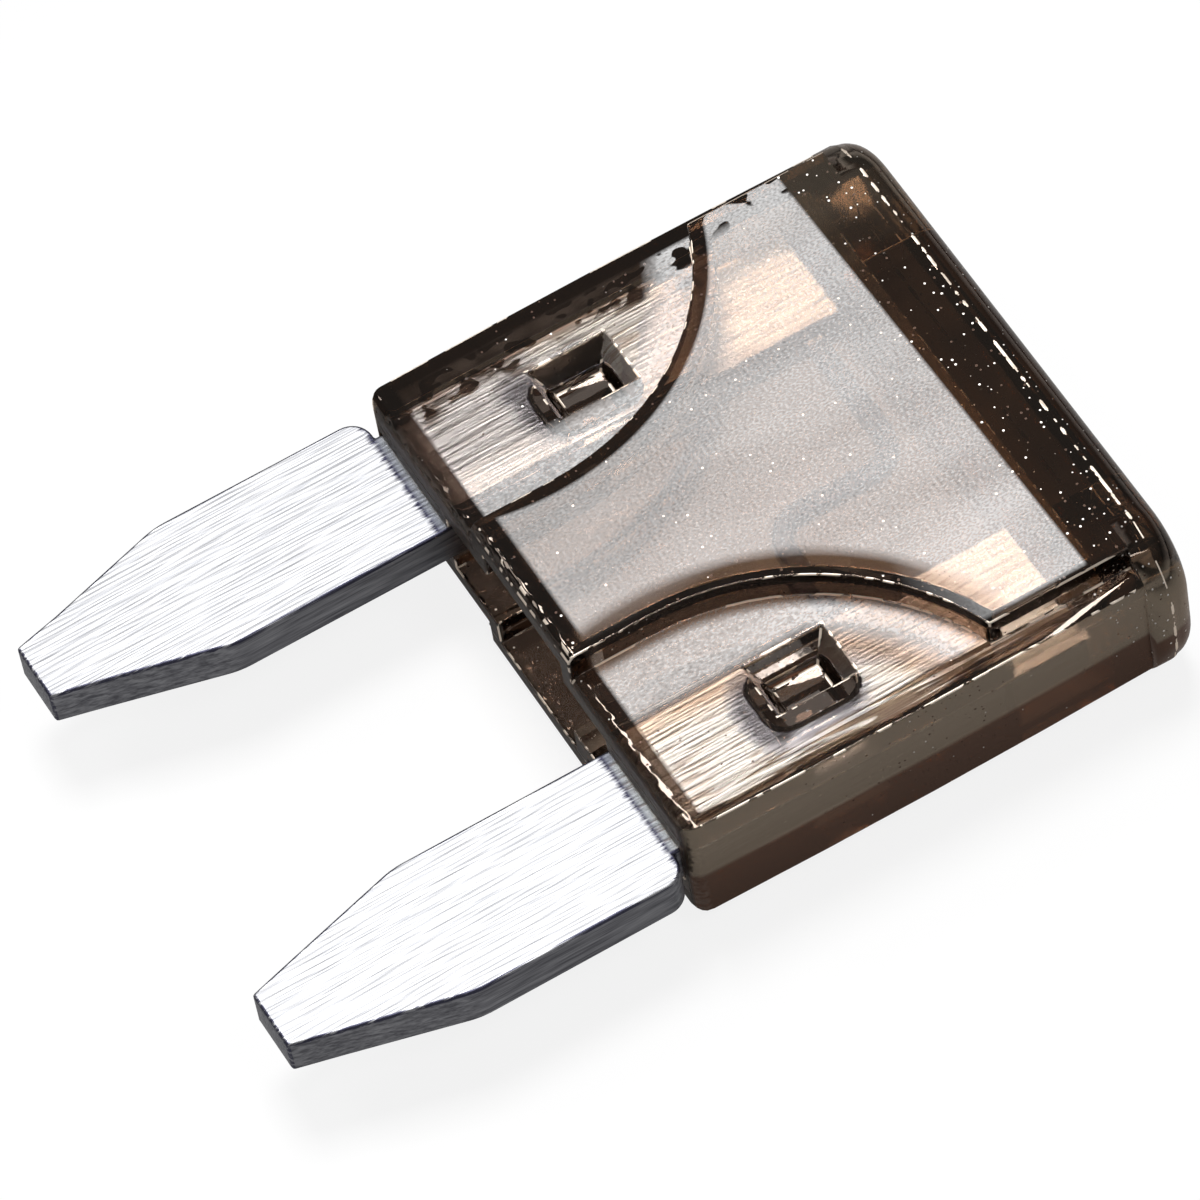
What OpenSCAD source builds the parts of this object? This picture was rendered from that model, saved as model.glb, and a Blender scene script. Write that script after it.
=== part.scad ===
// Mini blade fuse: a moulded housing over one stamped metal strip with two blades.
// It lies on its broad face. X runs across the blades, Y from the tips to the head.

/* [Blades] */
// Width of each bare blade
blade_w = 2.8; // [2.5:0.1:3]
// Thickness of the stamped strip
blade_t = 0.8; // [0.6:0.05:0.9]
// Distance between the blades' centre lines
blade_pitch = 8; // [7.6:0.1:8.2]
// Length of blade that stands out of the housing
blade_l = 7; // [6:0.1:8]
// Length of the taper at each tip
taper_l = 3; // [2:0.1:4]
// Width of the tip
tip_w = 1.1; // [0.8:0.1:1.6]
// Radius where the straight edge turns into the taper
taper_r = 1.5; // [0.5:0.1:2.5]
// Length of the coined lead-in at the tip
coin_l = 0.85; // [0.5:0.05:1.2]
// Depth of the coining on each face
coin_depth = 0.03; // [0.01:0.01:0.06]
// Bulge that the coining leaves on each edge
coin_bulge = 0.03; // [0.01:0.01:0.06]

/* [Strip inside the housing] */
// Distance by which the root's outer edge lies inside the blade's
root_step = 0.5; // [0.3:0.05:0.7]
// Distance between the root's end and the chamber's end
root_end_gap = 0.55; // [0.4:0.05:0.8]
// Gap between the exit and the shoulder where the blade narrows
shoulder_gap = 0.1; // [0.05:0.05:0.3]
// Radius of the shoulder
shoulder_r = 0.4; // [0.2:0.05:0.6]
// Width of the stake hole in each root
hole_w = 1.3; // [1:0.1:1.4]
// Length of the stake hole in each root
hole_l = 1.7; // [1.3:0.1:2]
// Corner radius of the stake hole
hole_r = 0.4; // [0.2:0.05:0.45]
// Width of the fuse link
link_w = 0.35; // [0.3:0.05:0.7]
// Thickness of the fuse link
link_t = 0.3; // [0.2:0.05:0.5]
// Inner radius of the fuse link's bends
link_r = 0.4; // [0.2:0.05:0.6]
// Distance from the roots' ends down to the link's upper arm
link_top_gap = 0.6; // [0.4:0.1:0.9]
// Distance between the link's two arms
link_drop = 2.5; // [2:0.1:2.8]
// Sideways place of the link's upright
link_x = 0.25; // [0:0.05:0.8]

/* [Housing] */
// Length of the housing from the exit to the top of the head
housing_l = 9.4; // [9:0.1:10]
// Outward bow of each side half way up
side_bow = 0.05; // [0.02:0.01:0.2]
// Radius of the upright edges at the exit
corner_r = 0.3; // [0.1:0.05:0.4]
// Radius of the edges round the exit on the broad faces
exit_r = 0.2; // [0.1:0.05:0.4]
// Height of the raised panels above the body's corners
panel_rise = 0.55; // [0.4:0.05:0.7]
// Width of the ledge beside each raised panel
ledge_w = 0.4; // [0.3:0.05:0.6]
// Width of the raised panels at the exit
neck_w = 3.2; // [2.6:0.1:3.6]
// Radius of the arcs that bound the raised panels
arc_r = 4.7; // [4.4:0.1:5]
// Height of the arcs' centres above the exit
arc_y = 1.5; // [1.3:0.1:1.7]

/* [Head] */
// Distance by which the head stands out past the body's sides
head_over = 0.25; // [0.1:0.05:0.4]
// Length of the head along the fuse
head_l = 0.85; // [0.7:0.05:1]
// Radius of the head's rounded ends, seen from its top
head_end_r = 1.3; // [1:0.05:1.5]
// Radius of the rim round the head's top
rim_r = 0.5; // [0.3:0.05:0.6]
// Step down from the head's broad face to the rim
rim_step = 0.03; // [0.01:0.01:0.05]

/* [Walls] */
// Wall over the roots, in the body's corners
corner_wall = 0.75; // [0.65:0.05:0.9]
// Wall beside the roots, at the body's sides
edge_wall = 0.25; // [0.2:0.05:0.4]
// Wall over the chamber, on the broad faces
face_wall = 0.5; // [0.4:0.05:0.6]
// Wall between the chamber and the arcs and sides
side_wall = 0.35; // [0.3:0.05:0.45]
// Wall over the gap between the blades at the exit
exit_wall = 0.5; // [0.4:0.05:0.6]
// Solid plastic between the chamber's end and the top of the head
top_wall = 1.35; // [1.1:0.05:1.6]
// Room round the strip inside the housing
strip_gap = 0.05; // [0.03:0.01:0.08]

/* [Stakes and probe slots] */
// Distance from the root's inner edge to the centre of its stake
stake_in = 0.9; // [0.85:0.05:1.3]
// Height of the stakes above the exit
stake_y = 3.15; // [2.9:0.05:3.3]
// Width of a stake pit at its mouth
pit_w = 1.15; // [0.9:0.05:1.4]
// Length of a stake pit at its mouth
pit_l = 1.5; // [1.2:0.05:1.8]
// Depth of a stake pit
pit_depth = 0.55; // [0.4:0.05:0.6]
// Distance by which each wall of a pit leans in
pit_lean = 0.32; // [0.2:0.02:0.4]
// Width of a probe slot in the head
slot_w = 1.6; // [1.2:0.1:1.8]

/* [Hidden] */
$fn = 96;
// Facets of the very large circles that bow the sides
large_fn = 720;
// Steps of a rounded corner of the blade
corner_steps = 8;
// Amount by which a cut runs past the face that it opens
over = 1;
// Length by which the link's arms run into the roots
link_bite = 0.25;

blade_in_x = blade_pitch / 2 - blade_w / 2;
blade_out_x = blade_in_x + blade_w;
root_w = blade_w - root_step;
root_mid_x = blade_in_x + root_w / 2;
stake_x = blade_in_x + stake_in;
slot_h = blade_t + 2 * strip_gap;
body_w = 2 * (blade_in_x + root_w + strip_gap + edge_wall);
body_t = slot_h + 2 * corner_wall;
panel_w = body_w - 2 * ledge_w;
panel_t = body_t + 2 * panel_rise;
head_w = body_w + 2 * head_over;
arc_x = neck_w / 2 + arc_r;
tip_y = -blade_l;
taper_y = tip_y + taper_l;
coin_y = tip_y + coin_l;
shoulder_y = -shoulder_gap - shoulder_r;
head_y = housing_l - head_l;
rim_y = housing_l - rim_r;
chamber_y = housing_l - top_wall;
chamber_h = panel_t - 2 * face_wall;
root_y = chamber_y - root_end_gap;
link_top_y = root_y - link_top_gap;
link_low_y = link_top_y - link_drop;
exit_slot_h = body_t - 2 * exit_wall;
bow_l = head_y - corner_r;
bow_r = sagitta_r(bow_l, side_bow);
mid_y = (housing_l - blade_l) / 2;

// Points of an arc of radius r that rounds the corner b between a and c
function corner_arc(a, b, c, r) =
    let (
        u = (a - b) / norm(a - b),
        v = (c - b) / norm(c - b),
        half = acos(u * v) / 2,
        o = b + (u + v) / norm(u + v) * r / sin(half),
        s = b + u * r / tan(half) - o,
        e = b + v * r / tan(half) - o,
        a0 = atan2(s.y, s.x),
        turn = (atan2(e.y, e.x) - a0 + 540) % 360 - 180
    )
    r == 0 ? [b] : [
        for (i = [0 : corner_steps])
            let (t = a0 + turn * i / corner_steps) o + r * [cos(t), sin(t)]
    ];

// Outline through the given corners, each rounded by its own radius
function rounded(pts, radii) = [
    for (i = [0 : len(pts) - 1])
        each corner_arc(
            pts[(i + len(pts) - 1) % len(pts)], pts[i], pts[(i + 1) % len(pts)], radii[i]
        )
];

// Radius of the circle that rises by the given height over the given chord
function sagitta_r(chord, height) = (pow(chord / 2, 2) + pow(height, 2)) / (2 * height);

// Moves a solid from the fuse's own axes to its resting place
module at_rest() {
    translate([0, -mid_y, panel_t / 2]) children();
}

module both_sides() {
    children();
    mirror([1, 0, 0]) children();
}

// Extrudes a drawing in Y and Z along X
module along_x(length) {
    rotate([90, 0, 90]) linear_extrude(length, center = true) children();
}

// Extrudes a drawing in X and Z along Y, from y0 to y1
module along_y(y0, y1) {
    translate([0, y1, 0]) rotate([90, 0, 0]) linear_extrude(y1 - y0) children();
}

// Extrudes a plan drawing to a slab of the given thickness about the middle plane
module slab(thickness) {
    linear_extrude(thickness, center = true) children();
}

// Rectangle about the origin with four round corners
module rounded_rect(w, l, r) {
    square([w - 2 * r, l], center = true);
    square([w, l - 2 * r], center = true);
    for (x = [-1, 1], y = [-1, 1])
        translate([x * (w / 2 - r), y * (l / 2 - r)]) circle(r);
}

// Rectangle from y0 to y1 whose two corners at y0 are round
module round_start(w, y0, y1, r) {
    translate([-w / 2, y0 + r]) square([w, y1 - y0 - r]);
    translate([r - w / 2, y0]) square([w - 2 * r, y1 - y0]);
    for (x = [-1, 1]) translate([x * (w / 2 - r), y0 + r]) circle(r);
}

// Bare blade in plan, from its tip to its shoulder, cut off below y0 and above y1
module blade_plan(bulge, y0, y1) {
    tip_x = (blade_w - tip_w) / 2;
    intersection() {
        polygon(rounded([
            [blade_in_x + tip_x - bulge, tip_y],
            [blade_out_x - tip_x + bulge, tip_y],
            [blade_out_x + bulge, taper_y],
            [blade_out_x + bulge, -shoulder_gap],
            [blade_in_x - bulge, -shoulder_gap],
            [blade_in_x - bulge, taper_y]
        ], [0, 0, taper_r, shoulder_r, 0, taper_r]));
        translate([0, y0]) square([blade_out_x + over, y1 - y0]);
    }
}

// Root of a blade in plan: the straight part that runs up into the housing
module root_plan() {
    difference() {
        translate([blade_in_x, shoulder_y]) square([root_w, root_y - shoulder_y]);
        stake_plan(0);
    }
}

// Stake hole in plan, made smaller all round by the gap for the stake itself
module stake_plan(gap) {
    translate([stake_x, stake_y])
        rounded_rect(hole_w - 2 * gap, hole_l - 2 * gap, hole_r - gap);
}

// Quarter ring that turns the link through a right angle
module link_bend(x, y, quarter) {
    translate([x, y]) intersection() {
        difference() {
            circle(link_r + link_w);
            circle(link_r);
        }
        rotate(quarter * 90) square(link_r + link_w);
    }
}

// Link in plan: an arm from one root, an upright and an arm to the other root
module link_plan() {
    turn = link_r + link_w / 2;
    left = link_x - turn;
    right = link_x + turn;
    translate([-blade_in_x - link_bite, link_top_y - link_w / 2])
        square([left + blade_in_x + link_bite, link_w]);
    link_bend(left, link_top_y - turn, 0);
    translate([link_x - link_w / 2, link_low_y + turn])
        square([link_w, link_top_y - link_low_y - 2 * turn]);
    link_bend(right, link_low_y + turn, 2);
    translate([right, link_low_y - link_w / 2])
        square([blade_in_x + link_bite - right, link_w]);
}

// One stamped strip: two blades, their roots and the link between them
module fuse_element() {
    color([0.82, 0.83, 0.85]) at_rest() {
        both_sides() {
            slab(blade_t) {
                blade_plan(0, coin_y, 0);
                root_plan();
            }
            slab(blade_t - 2 * coin_depth) blade_plan(coin_bulge, tip_y, coin_y);
        }
        slab(link_t) link_plan();
    }
}

// Body in plan: round corners at the exit, then bowed sides up to the head
module body_plan() {
    round_start(body_w, 0, head_y, corner_r);
    both_sides() intersection() {
        translate([body_w / 2 + side_bow - bow_r, corner_r + bow_l / 2])
            circle(bow_r, $fn = large_fn);
        translate([0, corner_r]) square([body_w, bow_l]);
    }
}

// Corner that the arc leaves low, in plan, with the arc drawn back by the wall
module low_corner_plan(wall) {
    translate([arc_x, arc_y]) circle(arc_r + wall);
    translate([arc_x - arc_r - wall, -over]) square([2 * (arc_r + wall), arc_y + over]);
}

// Raised panel in plan, or the chamber under it when drawn in by its wall
module panel_plan(wall, y0, y1) {
    difference() {
        translate([-panel_w / 2 + wall, y0]) square([panel_w - 2 * wall, y1 - y0]);
        both_sides() low_corner_plan(wall);
    }
}

// Slab of the given thickness whose edges are round at the exit
module exit_slab(thickness) {
    along_x(head_w) rotate(-90) round_start(thickness, 0, head_y, exit_r);
}

// Half of a round bar's section, with the bar's top edge rounded in
module rim_profile(r) {
    translate([0, head_y]) square([r, rim_y - head_y]);
    translate([0, head_y]) square([r - rim_r, head_l]);
    intersection() {
        translate([r - rim_r, rim_y]) circle(rim_r);
        translate([0, rim_y]) square([r, rim_r]);
    }
}

// Rim of the head: a rounded rectangle whose top edge is round all the way
module rim(w, h, r) {
    for (x = [-1, 1], z = [-1, 1])
        translate([x * (w / 2 - r), 0, z * (h / 2 - r)]) rotate([-90, 0, 0])
            rotate_extrude() rim_profile(r);
    intersection() {
        translate([0, head_y, 0]) rotate([-90, 0, 0])
            linear_extrude(head_l) rounded_rect(w, h, r);
        union() {
            slab(h - 2 * r) mirror([0, 1]) round_start(w, -housing_l, -head_y, rim_r);
            along_x(w - 2 * r) rotate(90) round_start(h, -housing_l, -head_y, rim_r);
        }
    }
}

// Head: a flat band, a small step, then the rim
module head() {
    along_y(head_y, rim_y) rounded_rect(head_w, panel_t, head_end_r);
    rim(head_w - 2 * rim_step, panel_t - 2 * rim_step, head_end_r - rim_step);
}

// Truncated pyramid pressed into one broad face over a stake
module stake_pit() {
    top = body_t / 2 + over;
    floor_z = body_t / 2 - pit_depth;
    lean = pit_lean * (pit_depth + over) / pit_depth;
    translate([stake_x, stake_y, 0]) intersection() {
        along_x(pit_w + 2 * over) polygon([
            [-pit_l / 2 + pit_lean, floor_z], [pit_l / 2 - pit_lean, floor_z],
            [pit_l / 2 - pit_lean + lean, top], [-pit_l / 2 + pit_lean - lean, top]
        ]);
        along_y(-pit_l / 2 - over, pit_l / 2 + over) polygon([
            [-pit_w / 2 + pit_lean, floor_z], [pit_w / 2 - pit_lean, floor_z],
            [pit_w / 2 - pit_lean + lean, top], [-pit_w / 2 + pit_lean - lean, top]
        ]);
    }
}

// Space inside the housing: the chamber, the gap at the exit and the room for the roots
module hollow() {
    slab(chamber_h) panel_plan(side_wall, -over, chamber_y);
    slab(exit_slot_h) translate([-blade_in_x, -over])
        square([2 * blade_in_x, arc_y + arc_r + over]);
    slab(slot_h) both_sides() {
        translate([blade_in_x - strip_gap, -over])
            square([root_w + 2 * strip_gap, root_y + strip_gap + over]);
        translate([root_mid_x - slot_w / 2, 0]) square([slot_w, housing_l + over]);
    }
}

// One moulded piece: body, raised panels, head, stakes and pits
module housing() {
    color([0.32, 0.24, 0.18, 0.6]) at_rest() {
        difference() {
            union() {
                intersection() {
                    slab(body_t) body_plan();
                    exit_slab(body_t);
                }
                intersection() {
                    slab(panel_t) panel_plan(0, 0, head_y);
                    exit_slab(panel_t);
                }
                head();
            }
            difference() {
                hollow();
                both_sides() slab(body_t) stake_plan(strip_gap);
            }
            both_sides() {
                stake_pit();
                mirror([0, 0, 1]) stake_pit();
            }
        }
    }
}

housing();
fuse_element();
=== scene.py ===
# %% [markdown]
# # A mini blade fuse of brown see-through plastic
#
# The fuse is a moulded housing over one stamped metal strip. The two blades plug
# into terminals, and a thin link inside the housing melts when the current is too
# high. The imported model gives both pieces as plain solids, already in place and in
# metres. This script gives them their soft edges and their finishes, then adds the
# floor, the lamps and the camera.

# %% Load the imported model
from math import cos, radians, sin

import bmesh
import bpy
import numpy as np
from mathutils import Matrix, Vector


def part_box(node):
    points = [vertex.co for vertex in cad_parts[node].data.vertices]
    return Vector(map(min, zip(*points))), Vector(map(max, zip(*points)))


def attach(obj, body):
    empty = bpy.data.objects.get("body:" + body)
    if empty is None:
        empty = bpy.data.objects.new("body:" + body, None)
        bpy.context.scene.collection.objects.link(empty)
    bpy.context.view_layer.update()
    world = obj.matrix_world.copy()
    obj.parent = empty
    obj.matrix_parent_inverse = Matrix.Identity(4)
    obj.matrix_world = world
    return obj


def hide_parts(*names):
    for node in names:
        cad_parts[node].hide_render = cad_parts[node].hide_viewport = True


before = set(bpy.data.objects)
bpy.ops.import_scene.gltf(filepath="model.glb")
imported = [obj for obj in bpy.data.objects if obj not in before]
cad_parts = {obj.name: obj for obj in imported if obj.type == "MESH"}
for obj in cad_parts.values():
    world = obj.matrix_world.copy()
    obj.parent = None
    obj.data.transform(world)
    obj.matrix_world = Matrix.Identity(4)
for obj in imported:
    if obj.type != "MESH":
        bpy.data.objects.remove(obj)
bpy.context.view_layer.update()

# %% [markdown]
# ## One set of axes
#
# A fuse is drawn from the plane where the blades leave the housing: x runs across
# the blades, y up to the head, and z from the middle of the sheet. The model lies
# on a broad face instead, so a point is turned into the model's own place here,
# and nothing else in the script has to know about the shift.

# %% The fuse's own axes
MM = 0.001
EXIT_Y = -1.2
SHEET_Z = 1.75


def place(x, y, z):
    """Point in metres for a point in mm: add the exit's place and the sheet's height."""
    return Vector((x, y + EXIT_Y, z + SHEET_Z)) * MM


low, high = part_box("housing")
print("housing in mm:", [round(v / MM, 2) for v in (*low, *high)])

# %% [markdown]
# ## The camera
#
# A long lens a hand's breadth away sees a fuse nearly without perspective. The
# camera is placed by two angles round the fuse and one about its own axis. They
# say more to a reader than a matrix, and the matrix follows from them.

# %% Camera
AZIMUTH, ELEVATION, ROLL = 69.065, 54.900, -10.978
DISTANCE = 163.108
FOCUS = place(-0.258, 1.466, 0.0)
SENSOR, LENS = 36, 301.87


def camera_turn(azimuth, elevation, roll):
    """Across the floor the look is minus the azimuth's sine and its cosine, both times
    the elevation's cosine, and down it is the elevation's sine. The picture's right is
    the look crossed with up, and then turned about the look by the roll."""
    a, e, r = radians(azimuth), radians(elevation), radians(roll)
    look = Vector((-sin(a) * cos(e), cos(a) * cos(e), -sin(e)))
    level = look.cross(Vector((0, 0, 1))).normalized()
    rise = level.cross(look)
    right = level * cos(r) + rise * sin(r)
    up = rise * cos(r) - level * sin(r)
    return look, Matrix((right, up, -look)).transposed()


look, turn = camera_turn(AZIMUTH, ELEVATION, ROLL)
camera = bpy.data.objects.new("camera", bpy.data.cameras.new("camera"))
bpy.context.scene.collection.objects.link(camera)
camera.data.sensor_width = SENSOR
camera.data.lens = LENS
camera.data.clip_start, camera.data.clip_end = 0.01, 5
camera.matrix_world = Matrix.Translation(FOCUS - look * DISTANCE * MM) @ turn.to_4x4()
bpy.context.scene.camera = camera
print("camera at (mm):", [round(v / MM, 1) for v in camera.matrix_world.translation])

# %% [markdown]
# ## Nodes by the line
#
# A finish is a small graph of nodes. Blender's own calls take four or five lines
# for each node, and the thought behind them gets lost. These helpers add a node,
# set its plain numbers and join its inputs in one line, so a recipe reads from top
# to bottom. Each helper first takes the graph that it works in.

# %% Graph, sockets and nodes
def empty_graph(owner):
    """Node graph of a material or of the world, emptied."""
    owner.use_nodes = True
    owner.node_tree.nodes.clear()
    return owner.node_tree


def feed(tree, socket, value):
    """Join a socket to another one or to a node's first output, or set its value."""
    if isinstance(value, bpy.types.Node):
        value = value.outputs[0]
    if isinstance(value, bpy.types.NodeSocket):
        tree.links.new(value, socket)
    else:
        socket.default_value = value


def node(tree, kind, values=(), settings=None, **inputs):
    """Add a node: values go to its sockets in their order, settings are its own
    options, and inputs go to its sockets by name."""
    made = tree.nodes.new("ShaderNode" + kind)
    for key, value in (settings or {}).items():
        setattr(made, key, value)
    for socket, value in zip(made.inputs, values):
        feed(tree, socket, value)
    for key, value in inputs.items():
        feed(tree, made.inputs[key.replace("_", " ")], value)
    return made


print("node helpers: empty_graph, feed, node")

# %% [markdown]
# ## Sums
#
# Most nodes do one step of arithmetic, on a number or on a place. Two helpers cover
# them, and the step's name says what is done.

# %% Arithmetic on numbers and on places
def calc(tree, operation, *values):
    """One step of arithmetic on numbers."""
    return node(tree, "Math", values, {"operation": operation}).outputs[0]


def calc_3d(tree, operation, *values):
    """One step of arithmetic on places. A length or a distance is a number."""
    made = node(tree, "VectorMath", values, {"operation": operation})
    gives_number = operation in ("LENGTH", "DISTANCE")
    return made.outputs["Value" if gives_number else "Vector"]


print("arithmetic: calc, calc_3d")

# %% [markdown]
# ## Masks
#
# A mask is a number from 0 to 1 that says where something is. It could be painted
# into an image, but that needs an unwrapped mesh and blurs close up. Worked out
# from the place on the fuse, it stays sharp at any size. Masks are multiplied where
# both have to hold, and the larger one is taken where either is enough.

# %% Masks and mixed colours
def times(tree, total, *values):
    """Product of all the values."""
    for value in values:
        total = calc(tree, "MULTIPLY", total, value)
    return total


def most(tree, best, *values):
    """Largest of the values."""
    for value in values:
        best = calc(tree, "MAXIMUM", best, value)
    return best


def without(tree, mask):
    """The other side of a mask: one minus it."""
    return calc(tree, "SUBTRACT", 1.0, mask)


def ramp(tree, value, start, end, at_start=0.0, at_end=1.0):
    """Straight line from at_start to at_end between start and end, level beyond both."""
    return node(tree, "MapRange", (value, start, end, at_start, at_end)).outputs[0]


def blend(tree, share, a, b):
    """Colour a where the share is 0, colour b where it is 1, mixed between."""
    made = node(tree, "Mix", (share,), {"data_type": "RGBA"})
    feed(tree, made.inputs[6], a)
    feed(tree, made.inputs[7], b)
    return made.outputs[2]


print("masks: times, most, without, ramp, blend")

# %% [markdown]
# ## Places on the fuse
#
# Object coordinates say where a point of the surface is, in metres. They are turned
# into mm here, in the fuse's own axes. With a small stretch along one axis a noise
# is drawn out that way, which gives a grain without an image.

# %% Point, grain and facing
def in_mm(tree, stretch=(1.0, 1.0, 1.0), shift=(0.0, 0.0, 0.0)):
    """The point in mm, times a stretch along each axis, plus a shift."""
    where = node(tree, "TexCoord").outputs["Object"]
    scale = tuple(part / MM for part in stretch)
    return node(tree, "Mapping", Vector=where, Scale=scale, Location=shift).outputs[0]


def fuse_axes(tree):
    """The three sockets x, y and z of the point, in the fuse's own axes."""
    point = in_mm(tree, shift=(0.0, -EXIT_Y, -SHEET_Z))
    return node(tree, "SeparateXYZ", Vector=point).outputs[:]


def grain(tree, stretch, scale, detail, roughness=0.5):
    """Cloudy noise around one half, drawn out along an axis with a small stretch."""
    return node(tree, "TexNoise", Vector=in_mm(tree, stretch), Scale=scale,
                Detail=detail, Roughness=roughness).outputs[0]


def facing_up(tree):
    """1 on a level face and 0 on an upright one: the size of the normal's z."""
    normal = node(tree, "NewGeometry").outputs["Normal"]
    return calc(tree, "ABSOLUTE", node(tree, "SeparateXYZ", Vector=normal).outputs["Z"])


def edge_mask(tree):
    """1 on the small round faces along the edges, 0 elsewhere."""
    return node(tree, "Attribute", settings={"attribute_name": "edge"}).outputs["Fac"]


print("places: in_mm, fuse_axes, grain, facing_up, edge_mask")

# %% [markdown]
# ## The arcs and the stakes
#
# The raised panel ends in an arc at each side, and a stake goes through a hole in each root of
# the strip. The plastic's finish and its painted shade change there, and so does the painted
# shade on the metal under it. Each form comes as a mirrored pair, so one sum with the size of x
# serves both sides.

# %% Distance from an arc's centre and from a stake
ARC_X, ARC_Y, ARC_R = 6.3, 1.5, 4.7
STAKE_X, STAKE_Y = 3.5, 3.15
STAKE_HALF_X, STAKE_HALF_Y = 0.45, 0.6


def from_arc(tree, x, y):
    """Distance in mm from the centre of the nearer arc: the root of the sum of the
    squares of how far the point is across and along."""
    across = calc(tree, "SUBTRACT", calc(tree, "ABSOLUTE", x), ARC_X)
    along = calc(tree, "SUBTRACT", y, ARC_Y)
    return calc_3d(tree, "LENGTH", node(tree, "CombineXYZ", (across, along)))


def from_stake(tree, x, y, shift_x=0.0, shift_y=0.0):
    """Distance in mm from the edge of the nearer stake hole: the length of what the
    distance from its middle, along each axis, is beyond the hole's half size."""
    off_x = calc(tree, "SUBTRACT", calc(tree, "ABSOLUTE", x), STAKE_X + shift_x)
    off_y = calc(tree, "SUBTRACT", y, STAKE_Y + shift_y)
    past_x = calc(tree, "SUBTRACT", calc(tree, "ABSOLUTE", off_x), STAKE_HALF_X)
    past_y = calc(tree, "SUBTRACT", calc(tree, "ABSOLUTE", off_y), STAKE_HALF_Y)
    beyond = node(tree, "CombineXYZ", (most(tree, past_x, 0.0), most(tree, past_y, 0.0)))
    return calc_3d(tree, "LENGTH", beyond)


print("arc's radius:", ARC_R, "stake hole:", 2 * STAKE_HALF_X, "by", 2 * STAKE_HALF_Y)

# %% [markdown]
# ## Zinc strip: the blades
#
# The strip is rolled, so fine lines run along the blades on the broad faces. The
# press shears its sides: they are darker and streaked. Long thin noise gives both,
# where a brushed finish could also come from the shader's own anisotropy. That
# gives the gleam alone, and here each line can be seen.

# %% Rolled faces and sheared sides
ROLLED = (0.31, 0.315, 0.33, 1), (0.44, 0.44, 0.45, 1)
SHEARED = (0.12, 0.12, 0.135, 1), (0.34, 0.34, 0.36, 1)

zinc = bpy.data.materials.new("strip_metal")
metal = empty_graph(zinc)
x, y = fuse_axes(metal)[:2]
lines = grain(metal, (1, 0.06, 1), 14.0, 2.0, roughness=0.75)
dashes = grain(metal, (1, 0.055, 1), 22.0, 0.0)
flat = ramp(metal, facing_up(metal), 0.55, 0.9)
rolled = blend(metal, ramp(metal, lines, 0.3, 0.75), *ROLLED)
sheared = blend(metal, ramp(metal, lines, 0.35, 0.7), *SHEARED)
print("strip: rolled faces, sheared sides")

# %% [markdown]
# ## Zinc strip: the painted contact shade
#
# Where a blade comes out of the plastic, a thin dark line of painted shade with a torn border
# runs across it. It could be a thin piece of its own, but it has no thickness to speak of. It
# is a band in y, and the rolled lines move its outer border to and fro.

# %% Painted contact shade
CONTACT_SHADE = (0.03, 0.03, 0.05, 1)
CONTACT_SHADE_START, CONTACT_SHADE_END = -0.24, 0.02

around_zero = calc(metal, "SUBTRACT", lines, 0.5)
torn_y = calc(metal, "ADD", y, times(metal, around_zero, 0.35))
# Painted shade: a dark band across each blade where it enters the housing.
contact_shade = times(metal, ramp(metal, torn_y, CONTACT_SHADE_START, CONTACT_SHADE_START + 0.1),
                ramp(metal, y, CONTACT_SHADE_END, CONTACT_SHADE_END - 0.04))
rolled = blend(metal, contact_shade, rolled, CONTACT_SHADE)
print("strip: contact line")

# %% [markdown]
# ## Zinc strip: the roots under the window
#
# Inside the housing the strip is painted with light and shade, brighter than the blades
# outside. It is painted bright, with warm dashes, where light reaches it through the plastic,
# and a painted grey shade lies beyond the arc, where the arc's wall shades it, and low on the
# far root. The border wanders, because no real one runs true: a slow noise is added to the
# distance before it is cut off.

# %% Bright and shaded roots
LIT_ROOT, WARM_DASH = (0.95, 1.0, 1.0, 1), (0.50, 0.46, 0.42, 1)
PALE_LINE = (0.72, 0.72, 0.72, 1)
SHADE_GREY, SHADE_LINE = (0.66, 0.70, 0.76, 1), (0.50, 0.53, 0.58, 1)
SHADE_R, LOW_SHADE_Y, LINK_Y = 3.85, 2.5, 5.4

waves = grain(metal, (1, 0.5, 1), 1.6, 1.0)
wander = times(metal, calc(metal, "SUBTRACT", waves, 0.5), 1.6)
wandering_r = calc(metal, "ADD", from_arc(metal, x, y), wander)
past_arc = ramp(metal, wandering_r, SHADE_R, SHADE_R + 0.07)
wandering_y = calc(metal, "ADD", y, wander)
low_on_root = ramp(metal, wandering_y, LOW_SHADE_Y, LOW_SHADE_Y + 0.2, 0.75, 0.0)
far_root = times(metal, low_on_root, calc(metal, "LESS_THAN", x, 0.0))
below_link = ramp(metal, y, LINK_Y, LINK_Y + 0.4, 1.0, 0.0)
# Painted shade beyond the arc and low on the far root.
shaded = times(metal, most(metal, past_arc, far_root), below_link)

# Painted light: the roots' bright, lit colour.
lit_root = blend(metal, ramp(metal, dashes, 0.58, 0.66), LIT_ROOT, WARM_DASH)
lit_root = blend(metal, ramp(metal, lines, 0.45, 0.75), lit_root, PALE_LINE)
shade_grey = blend(metal, ramp(metal, lines, 0.35, 0.75), SHADE_GREY, SHADE_LINE)
root = blend(metal, shaded, lit_root, shade_grey)
print("strip: roots")

# %% [markdown]
# ## Zinc strip: round the stakes and the link
#
# Each stake casts a painted shadow on the metal: a dark core in a grey ring, a little outward
# of the stake and nearer the exit. The link between the roots is painted nearly black, as
# shade. All three follow the distance from a form, so they stay with it when a size changes.

# %% Painted stake shadows and link shade
STAKE_SHADOW = (0.16, 0.17, 0.20, 1)
LINK_SHADE = (0.05, 0.05, 0.06, 1)
STAKE_SHADOW_SHIFT = 0.10, -0.22
SHADOW_CORE_WIDTH, SHADOW_RING_WIDTH = 0.20, 0.42
LINK_END_X = 2.45

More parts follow.
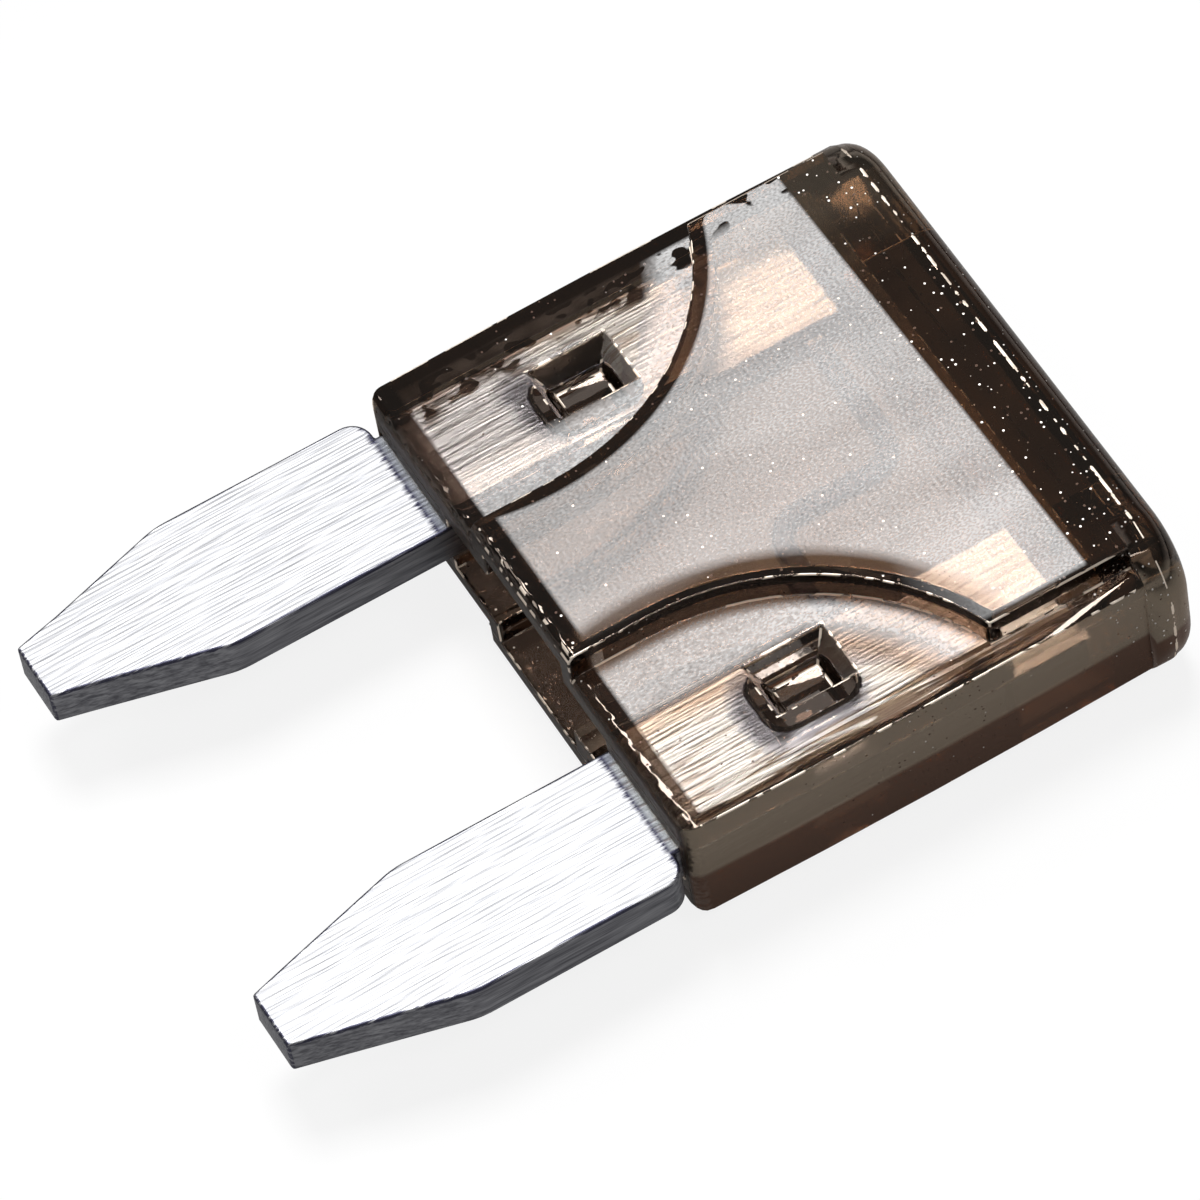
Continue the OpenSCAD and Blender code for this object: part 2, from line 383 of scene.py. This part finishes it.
off_shadow = from_stake(metal, x, y, *STAKE_SHADOW_SHIFT)
off_shadow = calc(metal, "ADD", off_shadow, times(metal, around_zero, 0.55))
off_shadow = calc(metal, "ADD", off_shadow, times(metal, wander, 0.35))
# Painted shadow of each stake: a grey ring round a dark core.
shadow_ring = ramp(metal, off_shadow, SHADOW_RING_WIDTH, SHADOW_RING_WIDTH + 0.08, 1.0, 0.0)
stake_shadow = ramp(metal, off_shadow, SHADOW_CORE_WIDTH, SHADOW_CORE_WIDTH + 0.2, 1.0, 0.0)
root = blend(metal, stake_shadow, blend(metal, shadow_ring, root, SHADE_LINE), STAKE_SHADOW)
# Painted shade: the link is coloured nearly black.
beside_link = ramp(metal, calc(metal, "ABSOLUTE", x), LINK_END_X, LINK_END_X + 0.15)
root = blend(metal, beside_link, LINK_SHADE, root)
print("strip: smudges and link")

# %% [markdown]
# ## Zinc strip: the shader
#
# The sheared colour goes on the sides, the rolled one on the blades, and the roots' painted
# light and shade inside the housing. The rounded edges are darkened in broken dashes: painted
# shade. A faint bump follows the dashes, so that a lamp draws them out too.

# %% Metal shader
EDGE_SHADE = (0.06, 0.06, 0.09, 1)
ROUGH_OUTSIDE, ROUGH_INSIDE = 0.48, 0.40
BUMP_DEPTH = 0.02 * MM

inside = ramp(metal, y, -0.15, 0.15)
# Inside the housing the roots' painted light and shade take the place of the blades' rolled
# colour.
colour = blend(metal, flat, sheared, blend(metal, inside, rolled, root))
# Painted shade in broken dashes on the rounded edges.
edge_shade = times(metal, edge_mask(metal), ramp(metal, lines, 0.62, 0.50))
colour = blend(metal, edge_shade, colour, EDGE_SHADE)
rough = ramp(metal, inside, 0.0, 1.0, ROUGH_OUTSIDE, ROUGH_INSIDE)
bump = node(metal, "Bump", Strength=0.35, Distance=BUMP_DEPTH, Height=dashes)
shader = node(metal, "BsdfPrincipled", Base_Color=colour, Metallic=1.0, Roughness=rough,
              Normal=bump)
node(metal, "OutputMaterial", Surface=shader)
print("material:", zinc.name, "with", len(metal.nodes), "nodes")

# %% [markdown]
# ## Brown plastic: where on the housing
#
# The housing's colour lies in its depth: a thin wall is pale, and an edge seen along its length
# is nearly black. A volume that absorbs light gives both with one number, where a painted
# surface would need a map for each view. Walls, pits and the open end get painted shade on top
# of that, and the head is browner, so these places get their masks.

# %% Faces of the housing
LEDGE_Z, CHAMBER_Z = 1.2, 1.25
HEAD_Y, HEAD_SLANT = 7.72, 0.018
FAR_SIDE_X, NEAR_SIDE_X = -4.88, 5.02

brown = bpy.data.materials.new("housing_plastic")
plastic = empty_graph(brown)
x, y, z = fuse_axes(plastic)
height = calc(plastic, "ABSOLUTE", z)
level = ramp(plastic, facing_up(plastic), 0.35, 0.85)
upright = without(plastic, level)
rounded_edge = edge_mask(plastic)

head_start = calc(plastic, "ADD", times(plastic, x, HEAD_SLANT), HEAD_Y)
head = ramp(plastic, calc(plastic, "SUBTRACT", y, head_start), 0.0, 0.06)
side = most(plastic, ramp(plastic, x, FAR_SIDE_X, FAR_SIDE_X - 0.08),
            ramp(plastic, x, NEAR_SIDE_X, NEAR_SIDE_X + 0.06))
top = ramp(plastic, height, SHEET_Z - 0.05, SHEET_Z - 0.005)
ledge = calc(plastic, "COMPARE", height, LEDGE_Z, 0.03)
ceiling = calc(plastic, "COMPARE", height, CHAMBER_Z, 0.02)
print("ledge", round(SHEET_Z - LEDGE_Z, 2), "mm under the panel, head from y =", HEAD_Y)

# %% [markdown]
# ## Brown plastic: arcs, pits and mouth
#
# The arcs and the pits are found by their distances. The mouth is the open end, and
# its lip slants, so its limit in y depends on z. The chamber's lower floor is left
# out of it, and stays as clear as the rest of the chamber.

# %% Arcs, pits and mouth
LIP_LOW_Y, LIP_HIGH_Y = 0.85, 0.45
SLOT_Z = 0.71

radius = from_arc(plastic, x, y)
arc = calc(plastic, "COMPARE", radius, ARC_R, 0.08)
pit = ramp(plastic, from_stake(plastic, x, y), 0.10, 0.20, 1.0, 0.0)

lip = ramp(plastic, z, -0.5, 0.0, LIP_LOW_Y, LIP_HIGH_Y)
before_lip = ramp(plastic, calc(plastic, "SUBTRACT", y, lip), -0.05, 0.03, 1.0, 0.0)
lower_floor = times(plastic, ceiling, calc(plastic, "LESS_THAN", z, 0.0))
mouth = times(plastic, before_lip, ramp(plastic, height, SLOT_Z, SLOT_Z + 0.04),
              without(plastic, lower_floor))
print("masks: arc, pit, mouth")

# %% [markdown]
# ## Brown plastic: painted shade on walls, and the head's tint
#
# A see-through surface has a tint as well, which colours what goes through it. It is white
# where the volume does the work. On walls, on the sides and in the mouth it is dark: painted
# shade, darker than the volume alone makes them. The head is a clouded brown.

# %% Painted wall shade and head
CLEAR = (1, 1, 1, 1)
HEAD_BROWNS = (0.24, 0.15, 0.10, 1), (0.62, 0.38, 0.22, 1)
WALL_SHADE, MOUTH_SHADE = (0.07, 0.035, 0.02, 1), (0.02, 0.01, 0.006, 1)

flow = grain(plastic, (1, 0.3, 1), 0.7, 2.0)
head_brown = blend(plastic, ramp(plastic, flow, 0.42, 0.58), *HEAD_BROWNS)
tint = blend(plastic, head, CLEAR, head_brown)
# Painted shade: walls, sides and the mouth are tinted dark.
wall_shade_weight = ramp(plastic, most(plastic, side, arc, pit, mouth), 0.0, 1.0, 0.15, 1.0)
wall_shade = times(plastic, upright, wall_shade_weight)
tint = blend(plastic, most(plastic, wall_shade, side, mouth), tint, WALL_SHADE)
tint = blend(plastic, times(plastic, mouth, level), tint, MOUTH_SHADE)
print("tints: head, walls, mouth")

# %% [markdown]
# ## Brown plastic: clear rims
#
# Three places are clear and brown, without frost: a warm band along the head's
# foot, a wide rim of the panel along the near arc and a thin one along the far arc.
# They could be painted by hand, but as sums they keep to the arcs exactly.

# %% Band and rims
BAND, NEAR_RIM = (0.55, 0.30, 0.14, 1), (0.50, 0.33, 0.21, 1)
FAR_RIM = (0.10, 0.055, 0.032, 1)
WIDE_R, THIN_R = 5.05, 4.94
BAND_END_Y = 8.30

band = times(plastic, head, ramp(plastic, y, BAND_END_Y, BAND_END_Y - 0.15),
             ramp(plastic, x, -2.0, 0.5))
panel = times(plastic, top, level)
near_rim = times(plastic, ramp(plastic, radius, WIDE_R, WIDE_R + 0.25, 1.0, 0.0), panel,
                 ramp(plastic, x, 0.0, 1.5), ramp(plastic, y, 7.2, 5.2))
far_rim = times(plastic, ramp(plastic, radius, THIN_R, THIN_R + 0.06, 1.0, 0.0), panel,
                calc(plastic, "LESS_THAN", x, 0.0))
for mask, shade in ((band, BAND), (near_rim, NEAR_RIM), (far_rim, FAR_RIM)):
    tint = blend(plastic, mask, tint, shade)
print("tints: band and rims")

# %% [markdown]
# ## Brown plastic: scuffs and scratches
#
# A fuse is pushed in and pulled out by its long sides. That leaves short scuffs
# along the far side and lengthwise scratches on the near ledge. A noise that is cut
# off at a level gives marks with clear borders, and its stretch their direction.

# %% Scuffs and scratches
SCUFF, SCRATCH = (0.05, 0.03, 0.02, 1), (0.06, 0.035, 0.02, 1)
SCUFF_START_X, SCUFF_END_X = -4.25, -4.90
LEDGE_START_X = 4.62

marks = grain(plastic, (1, 0.55, 1), 3.4, 1.0, roughness=0.8)
far_side = times(plastic, ramp(plastic, x, SCUFF_START_X, SCUFF_START_X - 0.2),
                 ramp(plastic, x, SCUFF_END_X - 0.08, SCUFF_END_X))
scuff = times(plastic, far_side, ramp(plastic, marks, 0.55, 0.58))
tint = blend(plastic, times(plastic, scuff, level), tint, SCUFF)

scratches = grain(plastic, (1, 0.05, 1), 13.0, 0.0)
near_ledge = times(plastic, ramp(plastic, x, LEDGE_START_X, LEDGE_START_X + 0.1), level)
scored = times(plastic, near_ledge, ramp(plastic, scratches, 0.47, 0.53))
tint = blend(plastic, scored, tint, SCRATCH)
print("marks: scuffs, scratches")

# %% [markdown]
# ## Brown plastic: frost
#
# The broad faces are frosted with a fine grain. A second rough surface could lie
# over them, but it would hide its share of the strip evenly. A rough coat scatters
# part of the light and lets the rest through, and its weight is the veil made here.
# The head, the rims, the scuffed side and the near ledge stay free of it.

# %% Frost
LEDGE_FROST, FLOW_SHARE = 1.25, 0.8

haze = grain(plastic, (1, 0.6, 1), 30.0, 0.0)
across = calc(plastic, "ABSOLUTE", x)
off_arc = most(plastic, ramp(plastic, radius, 3.8, 4.2), ramp(plastic, across, 3.0, 2.7))
on_ledge = times(plastic, ledge, off_arc, LEDGE_FROST)
on_panel = times(plastic, top, without(plastic, most(plastic, head, near_rim, far_rim)))
grainy = calc(plastic, "ADD", haze, times(plastic, flow, FLOW_SHARE))
worn_clear = most(plastic, scuff, side, near_ledge)
veil = times(plastic, grainy, most(plastic, on_panel, on_ledge), level,
             without(plastic, mouth), without(plastic, worn_clear),
             ramp(plastic, y, 1.0, 7.5, 0.85, 1.25))
print("frost on panel and ledge")

# %% [markdown]
# ## Brown plastic: painted sheen on flanks and head
#
# The outer flanks and the head's far end have a painted brown sheen. A second shader could be
# mixed in for it, but a share of rough reflection in the same shader looks alike and is
# simpler. Its colour is painted light and shade: the flank is paler above a line just under the
# middle and dark orange below it, and the head's far end gets more of the pale sheen than the
# rest of the head.

# %% Painted sheen
SHEEN_SHADE, SHEEN_LIGHT = (0.16, 0.06, 0.025, 1), (0.46, 0.37, 0.27, 1)
FLANK_SHEEN, FAR_HEAD_SHEEN, HEAD_SHEEN = 0.42, 0.24, 0.04
SHEEN_LIGHT_Z = -0.22

# Painted sheen: a share of tinted reflection on the flanks and the head.
flank_sheen = times(plastic, upright, side, FLANK_SHEEN)
cloud = times(plastic, calc(plastic, "SUBTRACT", flow, 0.5), 2.5)
cloudy_x = calc(plastic, "ADD", x, cloud)
# Painted light: the head's far end gets more of the pale sheen.
head_sheen = ramp(plastic, cloudy_x, -3.6, -2.4, FAR_HEAD_SHEEN, HEAD_SHEEN)
sheen_share = most(plastic, flank_sheen, times(plastic, head, head_sheen))
# Painted light above the line, painted shade below it.
painted_sheen = blend(plastic, ramp(plastic, z, SHEEN_LIGHT_Z, SHEEN_LIGHT_Z + 0.1), SHEEN_SHADE, SHEEN_LIGHT)
base = blend(plastic, ramp(plastic, sheen_share, 0.0, 0.1), tint, painted_sheen)
print("skin on flanks and head")

# %% [markdown]
# ## Brown plastic: dust
#
# Specks of dust lie on the plastic. Space is cut into small cubes, and white noise
# draws three numbers for each cube: whether it has a speck, whether that is pale,
# and how big it is. The same three give its place. That is one lookup, where the
# usual cell texture takes many. The cubes are shifted, so that no broad face of the
# housing lies on the border of two of them.

# %% Dust
CUBES_PER_MM = 9
CUBE_SHIFT = (0.37,) * 3
SPREAD, MARGIN = (0.7,) * 3, (0.15,) * 3
PALE_SPECK, DARK_SPECK = (0.85, 0.82, 0.78, 1), (0.08, 0.05, 0.04, 1)
BARE_ON_BODY, BARE_ON_HEAD = 0.60, 0.35
DARK_ON_BODY, DARK_ON_HEAD = 0.85, 0.40

cubes = calc_3d(plastic, "ADD", in_mm(plastic, (CUBES_PER_MM,) * 3), CUBE_SHIFT)
drawn = node(plastic, "TexWhiteNoise", Vector=calc_3d(plastic, "FLOOR", cubes)).outputs["Color"]
chance, paleness, size = node(plastic, "SeparateXYZ", Vector=drawn).outputs[:]
centre = calc_3d(plastic, "MULTIPLY_ADD", drawn, SPREAD, MARGIN)
gap = calc_3d(plastic, "DISTANCE", calc_3d(plastic, "FRACTION", cubes), centre)
gap = calc(plastic, "SUBTRACT", gap, times(plastic, size, 0.12))
bare = ramp(plastic, head, 0.0, 1.0, BARE_ON_BODY, BARE_ON_HEAD)
has_one = calc(plastic, "GREATER_THAN", chance, bare)
speck = times(plastic, ramp(plastic, gap, 0.05, 0.10, 1.0, 0.0), has_one)
dark = ramp(plastic, head, 0.0, 1.0, DARK_ON_BODY, DARK_ON_HEAD)
is_pale = calc(plastic, "GREATER_THAN", paleness, dark)
base = blend(plastic, speck, base, blend(plastic, is_pale, DARK_SPECK, PALE_SPECK))
print("dust: cubes of", round(1 / CUBES_PER_MM, 3), "mm")

# %% [markdown]
# ## Brown plastic: painted glints and dented edges
#
# The edges catch the light in short broken dashes. Two things do it: parts of an edge are
# painted pale and reflective as glints, and its round is dented, so that it reflects a lamp
# only here and there. The crease on the head gets painted glints too. The marks' noise picks
# the glinting parts, and one more noise is the depth of the dents.

# %% Painted glints and dented edges
CREASE_Y, EXIT_RIM_Y = 8.9, 0.30
GLINT = (0.95, 0.84, 0.72, 1)
DENTS_ON_FACES, DENTS_ON_EDGES = 0.05, 0.9

# Painted glints: pale reflective dashes on the edges and the crease.
crease = calc(plastic, "COMPARE", y, CREASE_Y, 0.012)
glint_level = ramp(plastic, crease, 0.0, 1.0, 0.53, 0.48)
painted_glint = times(plastic, most(plastic, rounded_edge, crease),
               calc(plastic, "GREATER_THAN", marks, glint_level))
base = blend(plastic, painted_glint, base, GLINT)

dents = grain(plastic, (0.5, 1, 1), 11.0, 0.0)
exit_rim = ramp(plastic, y, EXIT_RIM_Y, EXIT_RIM_Y - 0.08)
depth = ramp(plastic, most(plastic, rounded_edge, exit_rim), 0.0, 1.0,
             DENTS_ON_FACES, DENTS_ON_EDGES)
bump = node(plastic, "Bump", Strength=depth, Distance=BUMP_DEPTH, Height=dents)
print("edges: rubbed, dented")

# %% [markdown]
# ## Brown plastic: the shader
#
# The shader is clear glass with a share of reflection where there is dust, painted sheen or a
# painted glint on an edge. The exit's end face is matt, and the chamber's ceiling a little less
# polished than the rest. The volume takes away what its own colour lacks, so more blue than
# red, and thick plastic turns brown. Its density is counted per metre, and one for each mm
# makes a thousand.

# %% Plastic shader
VOLUME = (0.50, 0.39, 0.31, 1)
WARM_GLOSS, WARM_FROST = (1, 0.82, 0.70, 1), (1, 0.82, 0.68, 1)
MATT, SKIN_ROUGH, POLISHED = 0.5, 0.55, 0.06
REFRACTION = 1.58

share = most(plastic, speck, sheen_share, painted_glint)
exit_face = times(plastic, upright, ramp(plastic, y, 0.10, 0.03), MATT)
polish = calc(plastic, "ADD", times(plastic, ceiling, 0.07), POLISHED)
rough = most(plastic, times(plastic, share, SKIN_ROUGH), polish, exit_face)
shader = node(plastic, "BsdfPrincipled", Base_Color=base, Metallic=share, IOR=REFRACTION,
              Normal=bump, Roughness=rough, Coat_Weight=veil, Coat_Roughness=0.5,
              Coat_IOR=2.6, Coat_Tint=WARM_FROST, Specular_Tint=WARM_GLOSS)
shader.inputs["Transmission Weight"].default_value = 1.0
inner = node(plastic, "VolumeAbsorption", Color=VOLUME, Density=1 / MM)
node(plastic, "OutputMaterial", Surface=shader, Volume=inner)
print("material:", brown.name, "with", len(plastic.nodes), "nodes")

# %% [markdown]
# ## Soft edges: which edges
#
# A solid from the construction program has edges of no width, which catch no light.
# A real moulding's edges are rolled over by a few hundredths of a mm. A Bevel
# modifier could do it, but it can't leave out an edge by its place. The step behind
# the head runs out to nothing at its ends, and there it has to stay sharp.

# %% Edges to be rounded
EDGE_TURN = radians(25)
STEP_Y, STEP_END_X = 8.55, 4.1
NEAR_ENOUGH = 0.01


def at_step_end(vert):
    """True for a point on the line of the head's step, near one of its ends."""
    off_line = abs(vert.co.y - place(0, STEP_Y, 0).y)
    return off_line < NEAR_ENOUGH * MM and abs(vert.co.x) > STEP_END_X * MM


def sharp_edges(work):
    """Edges where two faces meet at a sharp turn, without those at the step's ends."""
    sharp = [e for e in work.edges
             if len(e.link_faces) == 2 and e.calc_face_angle(0) > EDGE_TURN]
    return [e for e in sharp if not all(at_step_end(v) for v in e.verts)]


print("rounded: edges sharper than 25 degrees")

# %% [markdown]
# ## Soft edges: the rounding
#
# The CAD node stays as it is, and a copy of its mesh is worked on. Its points are merged and
# its flat faces joined, so that an edge is one edge and no triangle's side counts as one. Then
# the sharp edges are rolled over. The new faces get a 1 in an attribute that both materials
# read for painted shade on the metal, painted glints on the plastic, and dents.

# %% Rounding
MERGE = 0.06
FLAT_TURN = radians(0.6)
ROUND_STEPS = 2


def round_edges(mesh, width):
    """Merge points, join flat faces and round the sharp edges by a width in mm."""
    work = bmesh.new()
    work.from_mesh(mesh)
    edge = work.faces.layers.float.new("edge")
    bmesh.ops.remove_doubles(work, verts=work.verts, dist=MERGE * MM)
    bmesh.ops.dissolve_limit(work, angle_limit=FLAT_TURN, verts=work.verts, edges=work.edges)
    rounded = bmesh.ops.bevel(work, geom=sharp_edges(work), offset=width * MM,
                              offset_type="OFFSET", segments=ROUND_STEPS, profile=0.5,
                              affect="EDGES", clamp_overlap=False)
    for face in rounded["faces"]:
        face[edge] = 1.0
    work.to_mesh(mesh)
    work.free()


print("points merged within", MERGE, "mm")

# %% [markdown]
# ## Soft edges: the two pieces
#
# Smooth shading would bend the light over the broad faces as well. A Weighted Normal
# modifier lets the large faces set the direction and keeps them flat, so that only
# the rounds turn. The metal's edges are rounder than the plastic's.

# %% Housing and strip
SMOOTH_TURN = radians(35)


def soft_copy(source, name, width, material):
    """Copy of a node with its edges rounded by a width in mm, in its material."""
    mesh = source.data.copy()
    mesh.name = name
    round_edges(mesh, width)
    marked = np.zeros(len(mesh.polygons), np.float32)
    mesh.attributes["edge"].data.foreach_get("value", marked)
    mesh.polygons.foreach_set("use_smooth", np.ones(len(mesh.polygons), bool))
    mesh.set_sharp_from_angle(angle=SMOOTH_TURN)
    mesh.materials.clear()
    mesh.materials.append(material)
    piece = bpy.data.objects.new(name, mesh)
    bpy.context.scene.collection.objects.link(piece)
    keep_flat = piece.modifiers.new("flat faces stay flat", "WEIGHTED_NORMAL")
    keep_flat.mode, keep_flat.weight, keep_flat.keep_sharp = "FACE_AREA", 100, True
    print(name, "faces:", len(mesh.polygons), "on rounded edges:", int(marked.sum()))
    return piece


housing = soft_copy(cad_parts["housing"], "moulded_housing", 0.028, brown)
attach(housing, "root")
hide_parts("housing")

strip = soft_copy(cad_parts["fuse_element"], "stamped_strip", 0.05, zinc)
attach(strip, "root")
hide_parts("fuse_element")

# %% [markdown]
# ## Floor: who looks
#
# A white table runs out past the picture on all sides. Lamps bright enough to make it white
# would bleach the fuse as well, so it shines by itself instead, and a matt part keeps the
# fuse's shadow. The camera sees it evenly white. Rays through the plastic see a painted pool of
# light round the fuse that fades to dark far away, with a painted shadow, a little dimmer,
# under and beside the fuse, and reflections see about a third of that.

# %% How bright the floor looks
FUSE_MIDDLE_Y = 4.7
FUSE_HALF_X, FUSE_HALF_Y = 5.0, 4.5
MIRRORED = 0.35
NEAR_FLOOR, FAR_FLOOR = 12.0, 60.0

table = bpy.data.materials.new("floor")
ground = empty_graph(table)
x, y = fuse_axes(ground)[:2]
path = node(ground, "LightPath").outputs
away = calc_3d(ground, "LENGTH", in_mm(ground, (1, 1, 0)))
# Painted pool of light: bright near the fuse, dark far away.
light_pool = ramp(ground, away, NEAR_FLOOR, FAR_FLOOR, 1.0, 0.0)
beyond_x = calc(ground, "SUBTRACT", calc(ground, "ABSOLUTE", x), FUSE_HALF_X)
off_y = calc(ground, "ABSOLUTE", calc(ground, "SUBTRACT", y, FUSE_MIDDLE_Y))
beyond_y = calc(ground, "SUBTRACT", off_y, FUSE_HALF_Y)
# Painted shadow under and beside the fuse.
outside_floor_shadow = ramp(ground, most(ground, beyond_x, beyond_y), 0.0, 4.0, 0.8, 1.0)
floor_light = most(ground, path["Is Camera Ray"], times(ground, light_pool, outside_floor_shadow))
dim = ramp(ground, path["Is Glossy Ray"], 0.0, 1.0, 1.0, MIRRORED)
print("floor: bright within", NEAR_FLOOR, "mm, dark beyond", FAR_FLOOR, "mm")

# %% [markdown]
# ## Floor: the sheet
#
# The finish mixes a matt surface with the shine, and the mix is matt alone for the light that
# bounces about, so the floor lights the fuse as a plain table does. The matt colour is a
# painted pool of light as well: pale near the fuse, dark far away. The sheet lies a hair under
# the fuse, because two faces in one plane flicker.

# %% Floor
SHINE_SHARE = 0.85
FLOOR_SIDE, FLOOR_GAP = 600, 0.02
MATT_PAST_POOL, MATT_IN_POOL = (0.05, 0.05, 0.05, 1), (0.9, 0.9, 0.9, 1)

# The matt colour carries the painted pool of light too.
matt = node(ground, "BsdfDiffuse", Color=blend(ground, light_pool, MATT_PAST_POOL, MATT_IN_POOL))
shine = node(ground, "Emission", Color=(1, 1, 1, 1), Strength=times(ground, floor_light, dim))
seen = most(ground, path["Is Camera Ray"], path["Is Glossy Ray"], path["Is Transmission Ray"])
mixed = node(ground, "MixShader", (times(ground, seen, SHINE_SHARE), matt, shine))
node(ground, "OutputMaterial", Surface=mixed)
table.cycles.emission_sampling = "NONE"

bpy.ops.mesh.primitive_plane_add(size=FLOOR_SIDE * MM, location=(0, 0, -FLOOR_GAP * MM))
floor = bpy.context.object
floor.name = "floor"
floor.data.materials.append(table)
print("floor:", FLOOR_SIDE, "mm square")

# %% [markdown]
# ## World
#
# The background is plain white to the camera. The light from it is weak, so that
# the lamps draw the shapes. Reflections and rays through the plastic see a pale
# band low down, which gives metal and glass something bright to show, and a dim
# sky above, so that the dark head stays dark.

# %% World
SKY_LOW, SKY_HIGH, BAND_STRENGTH = 0.02, 0.22, 0.6

world = bpy.data.worlds.new("studio")
bpy.context.scene.world = world
sky = empty_graph(world)
path = node(sky, "LightPath").outputs
direction = node(sky, "TexCoord").outputs["Generated"]
upward = node(sky, "SeparateXYZ", Vector=direction).outputs["Z"]
dome = ramp(sky, upward, 0.15, 0.7, SKY_LOW, SKY_HIGH)
second_look = most(sky, path["Is Glossy Ray"], path["Is Transmission Ray"])
low_band = times(sky, second_look, ramp(sky, upward, 0.10, 0.40, BAND_STRENGTH, 0.0))
strength = most(sky, path["Is Camera Ray"], dome, low_band)
background = node(sky, "Background", Color=(1, 1, 1, 1), Strength=strength)
node(sky, "OutputWorld", Surface=background)
print("world:", world.name)

# %% [markdown]
# ## Lamps
#
# Three square softboxes stand round the fuse, as on a product table. The large one
# behind it makes the broad faces gleam, and two weak ones light the exit and the
# side. They are placed by angles from the camera, so the light keeps its meaning.

# %% Lamps
LAMP_DISTANCE = 0.35


def softbox(name, azimuth, elevation, side_length, power):
    """Square lamp turned to the fuse. Across the floor it stands off by the azimuth's
    sine and minus its cosine, both times the elevation's cosine. Up it is the
    elevation's sine."""
    a, e = radians(azimuth), radians(elevation)
    away = Vector((sin(a) * cos(e), -cos(a) * cos(e), sin(e)))
    lamp = bpy.data.objects.new(name, bpy.data.lights.new(name, "AREA"))
    bpy.context.scene.collection.objects.link(lamp)
    lamp.data.size = side_length
    lamp.data.energy = power
    lamp.location = away * LAMP_DISTANCE
    lamp.rotation_euler = away.to_track_quat("Z", "Y").to_euler()


softbox("softbox_top", AZIMUTH + 180, 73, 0.12, 1.1)
softbox("softbox_exit", AZIMUTH - 124, 46, 0.10, 0.2)
softbox("softbox_side", AZIMUTH + 45, 60, 0.08, 0.15)
bpy.context.scene.view_settings.view_transform = "Standard"
